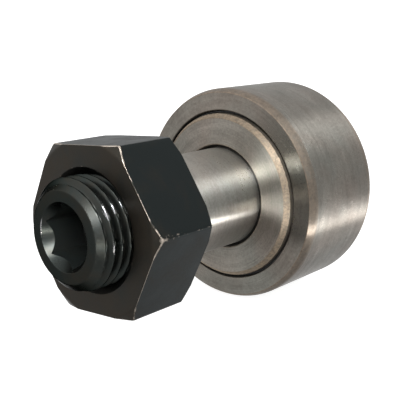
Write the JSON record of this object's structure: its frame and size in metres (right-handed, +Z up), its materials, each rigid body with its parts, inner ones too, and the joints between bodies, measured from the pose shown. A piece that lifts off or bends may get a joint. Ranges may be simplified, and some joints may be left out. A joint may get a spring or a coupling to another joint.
{
  "type": "cam follower",
  "caption": "Stud-type cam follower: a needle track roller on a threaded stud, with side plate, seals, grease nipple and hexagon nut.",
  "frame": {"origin": "on the stud's axis, at the face of the side plate that seats on the machine", "axes": "+X along the stud's axis towards its threaded end, +Z up, the roller lying on its running surface's side with its stud level"},
  "size_m": [0.0523, 0.035, 0.035],
  "materials": {
    "bright_ground_stud": "ground",
    "ground_bearing_steel": "ground",
    "ground_side_plate": "ground",
    "black_oxide": "black oxide, oiled",
    "polished_rollers": "polished",
    "pressed_cage": "satin",
    "seal_plastic": "matte",
    "nipple_brass": "satin"
  },
  "bodies": {
    "stud": {"stud": "bright_ground_stud", "side_plate": "ground_side_plate", "grease_nipple": "nipple_brass", "nipple_spring": "polished_rollers"},
    "outer_ring": {"outer_ring": "ground_bearing_steel", "seal_front": "seal_plastic", "seal_rear": "seal_plastic"},
    "cage": {"needle_cage": "pressed_cage"},
    "nut": {"hex_nut": "black_oxide"},
    "nipple_ball": {"nipple_ball": "polished_rollers"},
    "needle_01": {"needle_01": "polished_rollers"},
    "needle_02": {"needle_02": "polished_rollers"},
    "needle_03": {"needle_03": "polished_rollers"},
    "needle_04": {"needle_04": "polished_rollers"},
    "needle_05": {"needle_05": "polished_rollers"},
    "needle_06": {"needle_06": "polished_rollers"},
    "needle_07": {"needle_07": "polished_rollers"},
    "needle_08": {"needle_08": "polished_rollers"},
    "needle_09": {"needle_09": "polished_rollers"},
    "needle_10": {"needle_10": "polished_rollers"},
    "needle_11": {"needle_11": "polished_rollers"},
    "needle_12": {"needle_12": "polished_rollers"},
    "needle_13": {"needle_13": "polished_rollers"},
    "needle_14": {"needle_14": "polished_rollers"},
    "needle_15": {"needle_15": "polished_rollers"},
    "needle_16": {"needle_16": "polished_rollers"}
  },
  "joints": [
    {"name": "outer_ring_spin", "type": "hinge", "parent": "stud", "child": "outer_ring", "pos_m": [-0.01, 0, 0], "axis": [1, 0, 0], "continuous": true},
    {"name": "cage_orbit", "type": "hinge", "parent": "stud", "child": "cage", "pos_m": [-0.01, 0, 0], "axis": [1, 0, 0], "continuous": true},
    {"name": "nut_turn", "type": "hinge", "parent": "stud", "child": "nut", "pos_m": [0.0226, 0, 0], "axis": [1, 0, 0], "continuous": true},
    {"name": "nipple_ball_press", "type": "slide", "parent": "stud", "child": "nipple_ball", "axis": [1, 0, 0], "range_m": [0, 0.0005], "stiffness_N_per_m": 200},
    {"name": "needle_01_spin", "type": "hinge", "parent": "cage", "child": "needle_01", "pos_m": [-0.01, 0.0115, 0], "axis": [1, 0, 0], "continuous": true},
    {"name": "needle_02_spin", "type": "hinge", "parent": "cage", "child": "needle_02", "pos_m": [-0.01, 0.01062, 0.0044], "axis": [1, 0, 0], "continuous": true},
    {"name": "needle_03_spin", "type": "hinge", "parent": "cage", "child": "needle_03", "pos_m": [-0.01, 0.00813, 0.00813], "axis": [1, 0, 0], "continuous": true},
    {"name": "needle_04_spin", "type": "hinge", "parent": "cage", "child": "needle_04", "pos_m": [-0.01, 0.0044, 0.01062], "axis": [1, 0, 0], "continuous": true},
    {"name": "needle_05_spin", "type": "hinge", "parent": "cage", "child": "needle_05", "pos_m": [-0.01, 0, 0.0115], "axis": [1, 0, 0], "continuous": true},
    {"name": "needle_06_spin", "type": "hinge", "parent": "cage", "child": "needle_06", "pos_m": [-0.01, -0.0044, 0.01062], "axis": [1, 0, 0], "continuous": true},
    {"name": "needle_07_spin", "type": "hinge", "parent": "cage", "child": "needle_07", "pos_m": [-0.01, -0.00813, 0.00813], "axis": [1, 0, 0], "continuous": true},
    {"name": "needle_08_spin", "type": "hinge", "parent": "cage", "child": "needle_08", "pos_m": [-0.01, -0.01062, 0.0044], "axis": [1, 0, 0], "continuous": true},
    {"name": "needle_09_spin", "type": "hinge", "parent": "cage", "child": "needle_09", "pos_m": [-0.01, -0.0115, 0], "axis": [1, 0, 0], "continuous": true},
    {"name": "needle_10_spin", "type": "hinge", "parent": "cage", "child": "needle_10", "pos_m": [-0.01, -0.01062, -0.0044], "axis": [1, 0, 0], "continuous": true},
    {"name": "needle_11_spin", "type": "hinge", "parent": "cage", "child": "needle_11", "pos_m": [-0.01, -0.00813, -0.00813], "axis": [1, 0, 0], "continuous": true},
    {"name": "needle_12_spin", "type": "hinge", "parent": "cage", "child": "needle_12", "pos_m": [-0.01, -0.0044, -0.01062], "axis": [1, 0, 0], "continuous": true},
    {"name": "needle_13_spin", "type": "hinge", "parent": "cage", "child": "needle_13", "pos_m": [-0.01, 0, -0.0115], "axis": [1, 0, 0], "continuous": true},
    {"name": "needle_14_spin", "type": "hinge", "parent": "cage", "child": "needle_14", "pos_m": [-0.01, 0.0044, -0.01062], "axis": [1, 0, 0], "continuous": true},
    {"name": "needle_15_spin", "type": "hinge", "parent": "cage", "child": "needle_15", "pos_m": [-0.01, 0.00813, -0.00813], "axis": [1, 0, 0], "continuous": true},
    {"name": "needle_16_spin", "type": "hinge", "parent": "cage", "child": "needle_16", "pos_m": [-0.01, 0.01062, -0.0044], "axis": [1, 0, 0], "continuous": true}
  ],
  "couplings": [
    {"joint": "cage_orbit", "follows": "outer_ring_spin", "ratio": 0.56522},
    {"joint": "needle_01_spin", "follows": "outer_ring_spin", "ratio": 3.7681},
    {"joint": "needle_02_spin", "follows": "outer_ring_spin", "ratio": 3.7681},
    {"joint": "needle_03_spin", "follows": "outer_ring_spin", "ratio": 3.7681},
    {"joint": "needle_04_spin", "follows": "outer_ring_spin", "ratio": 3.7681},
    {"joint": "needle_05_spin", "follows": "outer_ring_spin", "ratio": 3.7681},
    {"joint": "needle_06_spin", "follows": "outer_ring_spin", "ratio": 3.7681},
    {"joint": "needle_07_spin", "follows": "outer_ring_spin", "ratio": 3.7681},
    {"joint": "needle_08_spin", "follows": "outer_ring_spin", "ratio": 3.7681},
    {"joint": "needle_09_spin", "follows": "outer_ring_spin", "ratio": 3.7681},
    {"joint": "needle_10_spin", "follows": "outer_ring_spin", "ratio": 3.7681},
    {"joint": "needle_11_spin", "follows": "outer_ring_spin", "ratio": 3.7681},
    {"joint": "needle_12_spin", "follows": "outer_ring_spin", "ratio": 3.7681},
    {"joint": "needle_13_spin", "follows": "outer_ring_spin", "ratio": 3.7681},
    {"joint": "needle_14_spin", "follows": "outer_ring_spin", "ratio": 3.7681},
    {"joint": "needle_15_spin", "follows": "outer_ring_spin", "ratio": 3.7681},
    {"joint": "needle_16_spin", "follows": "outer_ring_spin", "ratio": 3.7681}
  ]
}
